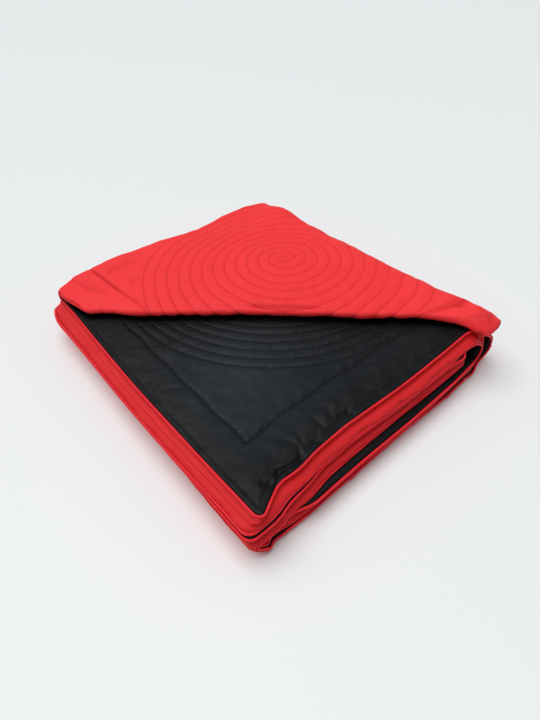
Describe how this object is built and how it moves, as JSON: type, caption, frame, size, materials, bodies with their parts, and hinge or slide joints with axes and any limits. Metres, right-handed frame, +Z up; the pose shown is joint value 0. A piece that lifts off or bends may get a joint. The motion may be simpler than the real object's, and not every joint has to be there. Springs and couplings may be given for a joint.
{
  "type": "bedspread",
  "caption": "Quilted bedspread with a red face and a black reverse, folded into a flat stack with one corner of its top layer turned under.",
  "frame": {"origin": "middle of the stack's bounding box, on the surface that it lies on", "axes": "+Z up, +X from the side with the open corner edges towards the side where the layers fold round together, +Y from the edge-bound front towards the long crease at the back"},
  "size_m": [0.6908, 0.7784, 0.1378],
  "materials": {
    "red_face": "satin",
    "black_reverse": "satin",
    "edge_piping": "satin"
  },
  "bodies": {
    "root": {"red_face": "red_face", "black_reverse": "black_reverse", "edge_piping": "edge_piping"}
  },
  "joints": []
}
